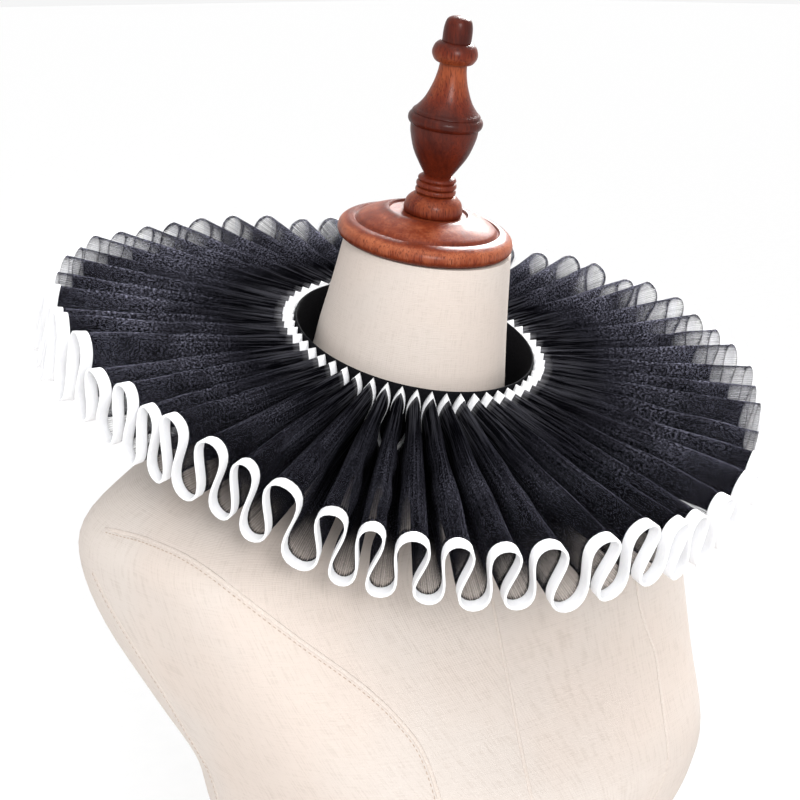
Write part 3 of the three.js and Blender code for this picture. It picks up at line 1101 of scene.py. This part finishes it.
band_top = BAND_ABOVE - BAND_INSET
band_heights = np.linspace(-INNER_HEIGHT - band_top, band_top, BAND_ROWS)
band_rings = []
turns = np.linspace(0, 2 * math.pi, BAND_COLUMNS, endpoint=False)
for height in band_heights:
    from_edge = min(height - band_heights[0], band_heights[-1] - height)
    radius = BAND_MIDDLE - (HEM_GROOVE if HEM_FROM < from_edge < HEM_TO else 0)
    ring = [radius * np.sin(turns), -radius * np.cos(turns), np.full(BAND_COLUMNS, height)]
    band_rings.append(np.stack(ring, axis=1))
band_length = 2 * math.pi * BAND_MIDDLE * MM
band = cloth_grid(
    "collar_band",
    to_metres(band_rings, ruff_place),
    np.linspace(0, band_length, BAND_COLUMNS + 1),
    (band_heights - band_heights[0]) * MM,
)
apply_modifier(band, "SOLIDIFY", thickness=BAND_WALL * MM, offset=0, use_even_offset=True)
apply_modifier(band, "BEVEL", width=BAND_ROUNDING * MM, segments=2, limit_method="ANGLE")


# %% Band finish
BAND_YARN = 0.0008


def band_cloth():
    material, shader, cloth = new_finish(
        "black_band_cloth", UV_SPACE, Roughness=0.9, Specular_IOR_Level=0.08
    )
    weave = cloth.part(0).wave(BAND_YARN) * cloth.part(1).wave(BAND_YARN)
    fuzz = cloth.noise(scale=700.0, detail=2.0)
    color = fuzz.ramp((0.3, (0.002, 0.002, 0.003)), (0.7, (0.008, 0.008, 0.010)))
    feed(shader, "Base Color", color)
    feed_bump(shader, weave + fuzz * 0.5, 0.0003, 0.5)
    return material


finish_piece(band, band_cloth(), "band_cloth", "neck_band")

# %% [markdown]
# ## What the ruffle was cut from
# The ruffle's strip is as long as its outer edge, measured along the loops, and its pleats use
# the same length up more tightly at the neck.

# %% [markdown]
# ## Floor, light and camera
# The object stands on a wide pale floor in soft studio light: a bright, even surround, a
# high soft light for the floor, one large lamp beside the camera, and one behind the
# wearer's left shoulder that draws the highlights on the wood. The camera looks down a
# little at the ruff from in front and to the wearer's right, and it crops the form below
# the bust.

# %% Floor
FLOOR_HALF = 30
FLOOR_BELOW = 0.0005

bpy.ops.object.select_all(action="DESELECT")
bpy.ops.mesh.primitive_plane_add(size=2 * FLOOR_HALF, location=(0, 0, -FLOOR_BELOW))
floor = bpy.context.object
floor.name = "floor"
floor_finish, floor_shader, floor_place = new_finish("pale_floor", OBJECT_SPACE, Roughness=0.8)
speckle = floor_place.noise(scale=40.0, detail=2.0)
feed(floor_shader, "Base Color", speckle.ramp((0.3, 0.965), (0.7, 0.98)))
floor.data.materials.append(floor_finish)
floor.select_set(False)
print("floor, m:", 2 * FLOOR_HALF)

# %% Lights
SURROUND = 0.92
AIM = Vector((0, -0.05, 0.68))
SKY_STRENGTH = 0.4
SKY_WIDTH = 40
SKY_HEADING = Vector((0.35, 0.45, -1))

world = bpy.data.worlds.new("studio")
world.use_nodes = True
background = world.node_tree.nodes["Background"]
background.inputs["Color"].default_value = (1, 1, 1, 1)
background.inputs["Strength"].default_value = SURROUND
bpy.context.scene.world = world
bpy.context.scene.view_settings.view_transform = "Standard"


def aimed_object(name, data, place, heading):
    """A lamp or a camera at a place, looking along a heading."""
    holder = bpy.data.objects.new(name, data)
    bpy.context.scene.collection.objects.link(holder)
    holder.location = place
    holder.rotation_mode = "QUATERNION"
    holder.rotation_quaternion = heading.to_track_quat("-Z", "Y")
    return holder


def softbox(name, place, size, watts, spread):
    lamp = bpy.data.lights.new(name, "AREA")
    lamp.shape = "SQUARE"
    lamp.size = size
    lamp.spread = math.radians(spread)
    lamp.energy = watts
    return aimed_object(name, lamp, place, AIM - Vector(place))


key_light = softbox("key_light", (-1.2, -2.2, 1.5), size=0.9, watts=1.9, spread=32)
side_light = softbox("side_light", (1.7, 0.9, 1.9), size=0.8, watts=4.5, spread=28)
sun_lamp = bpy.data.lights.new("sky_light", "SUN")
sun_lamp.energy = SKY_STRENGTH
sun_lamp.angle = math.radians(SKY_WIDTH)
sky_light = aimed_object("sky_light", sun_lamp, (0, 0, 0), SKY_HEADING)
print("lights:", [light.name for light in (key_light, side_light, sky_light)])

# %% Camera
AZIMUTH = math.radians(-42)
ELEVATION = math.radians(13.4)
CAMERA_DISTANCE = 1150
AIM_RIGHT = -17.5
AIM_UP = -98.1
FOCAL_PIXELS = 1838
PICTURE_PIXELS = 800
SENSOR = 36

level = math.cos(ELEVATION)
back = Vector((math.sin(AZIMUTH) * level, -math.cos(AZIMUTH) * level, math.sin(ELEVATION)))
right = Vector((math.cos(AZIMUTH), math.sin(AZIMUTH), 0))
up = back.cross(right)
place = Vector((0, -CAP_FORWARD, NECK_TOP)) + back * CAMERA_DISTANCE
place = place + right * AIM_RIGHT + up * AIM_UP
camera_data = bpy.data.cameras.new("camera")
camera_data.sensor_width = SENSOR
camera_data.lens = FOCAL_PIXELS / PICTURE_PIXELS * SENSOR
camera_data.clip_start = 0.05
camera_data.clip_end = 200
camera = aimed_object("camera", camera_data, place * MM, -back)
bpy.context.scene.camera = camera
print("camera at", [round(x, 4) for x in camera.location], "lens", round(camera_data.lens, 2))

# %% [markdown]
# ## The last step
# The last cell brings the scene up to date.

# %% Update the scene
bpy.context.view_layer.update()
